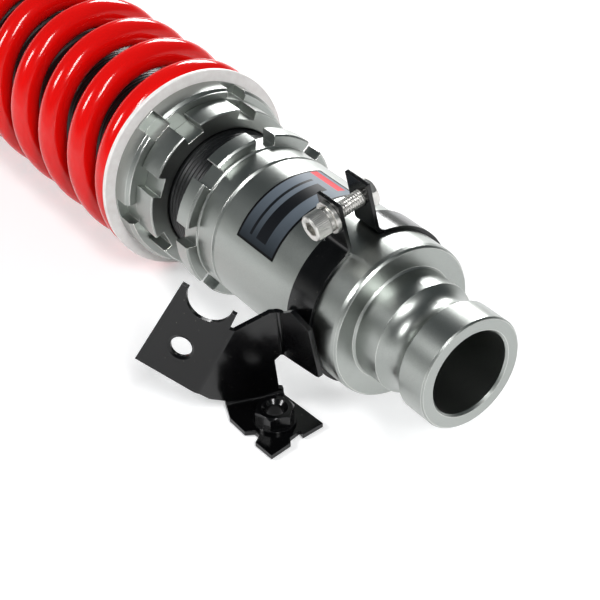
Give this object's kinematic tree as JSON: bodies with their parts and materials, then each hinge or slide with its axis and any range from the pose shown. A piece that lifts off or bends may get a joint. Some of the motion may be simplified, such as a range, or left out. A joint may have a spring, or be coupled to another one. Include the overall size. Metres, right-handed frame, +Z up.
{
  "type": "coilover",
  "caption": "Adjustable coil-over damper with a fork spigot, threaded tube, spring perch and lock rings, red coil spring, pillow-ball top mount and a clamped hose bracket.",
  "frame": {"origin": "centre of the fork spigot's open end face, on the damper's axis", "axes": "+X along the damper's axis, out of the spigot's open end; +Z up from the bench that the part lies on; -Y towards the hose bracket"},
  "size_m": [0.4183, 0.117, 0.095],
  "materials": {
    "silver_anodised": "fine bead-blasted, silver anodised",
    "black_tube": "semi-gloss black coated thread",
    "black_gloss": "gloss black powder coat",
    "black_anodised": "satin black anodised",
    "spring_red": "high-gloss red powder coat",
    "hard_chrome": "ground and hard-chromed",
    "zinc_steel": "bright zinc plate",
    "bright_steel": "machined, polished stainless",
    "seal_rubber": "matt nitrile",
    "bump_foam": "microcellular polyurethane",
    "sleeve_plastic": "satin moulded black",
    "knob_red": "red anodised",
    "white_nylon": "white nylon"
  },
  "bodies": {
    "lower_mount": {"lower_mount": "silver_anodised", "lower_lock_ring": "silver_anodised", "clamp_band": "black_gloss", "hose_bracket": "black_gloss", "bracket_weld_nut": "black_gloss", "clamp_screw": "bright_steel", "clamp_washer": "bright_steel", "clamp_spring_washer": "bright_steel", "clamp_nut": "bright_steel"},
    "damper": {"damper_tube": "black_tube", "gas_fill_plug": "zinc_steel", "rod_guide": "silver_anodised", "guide_seal": "seal_rubber", "rod_seal": "seal_rubber", "guide_snap_ring": "bright_steel", "rod_wiper": "seal_rubber", "main_spring": "spring_red"},
    "gas_piston": {"floating_piston": "silver_anodised", "floating_piston_seal": "seal_rubber"},
    "perch_lock": {"perch_lock_ring": "silver_anodised"},
    "perch": {"spring_perch": "silver_anodised", "spring_isolator": "white_nylon"},
    "rod": {"piston": "silver_anodised", "piston_band": "seal_rubber", "piston_shims": "bright_steel", "piston_nut": "zinc_steel", "piston_rod": "hard_chrome", "topout_bumper": "seal_rubber", "bump_stop": "bump_foam", "dust_sleeve": "sleeve_plastic", "upper_spring_seat": "silver_anodised", "lower_collar": "zinc_steel", "pillow_ball": "hard_chrome", "upper_collar": "zinc_steel", "rod_nut": "zinc_steel"},
    "top_mount": {"bearing_race": "bright_steel", "race_snap_ring": "bright_steel", "top_mount_plate": "black_anodised", "mount_studs": "zinc_steel"},
    "knob": {"adjuster_needle": "bright_steel", "damping_knob": "knob_red"}
  },
  "joints": [
    {"name": "length_adjust", "type": "slide", "parent": "lower_mount", "child": "damper", "axis": [-1, 0, 0], "range_m": [0, 0.02]},
    {"name": "rod_stroke", "type": "slide", "parent": "damper", "child": "rod", "axis": [1, 0, 0], "range_m": [0, 0.065], "stiffness_N_per_m": 58800, "deforming": ["main_spring"]},
    {"name": "gas_piston_travel", "type": "slide", "parent": "damper", "child": "gas_piston", "axis": [1, 0, 0], "range_m": [0, 0.0061]},
    {"name": "spring_preload", "type": "slide", "parent": "damper", "child": "perch", "axis": [1, 0, 0], "range_m": [0, 0.0155]},
    {"name": "lock_ring_release", "type": "slide", "parent": "perch", "child": "perch_lock", "axis": [1, 0, 0], "range_m": [0, 0.0015]},
    {"name": "top_mount_tilt", "type": "hinge", "parent": "rod", "child": "top_mount", "pos_m": [-0.38, 0, 0], "axis": [0, 1, 0], "range_deg": [-5, 5]},
    {"name": "damping_adjust", "type": "hinge", "parent": "rod", "child": "knob", "pos_m": [-0.411, 0, 0], "axis": [-1, 0, 0], "range_deg": [0, 720]}
  ],
  "couplings": [
    {"joint": "gas_piston_travel", "follows": "rod_stroke", "ratio": 0.0926}
  ]
}
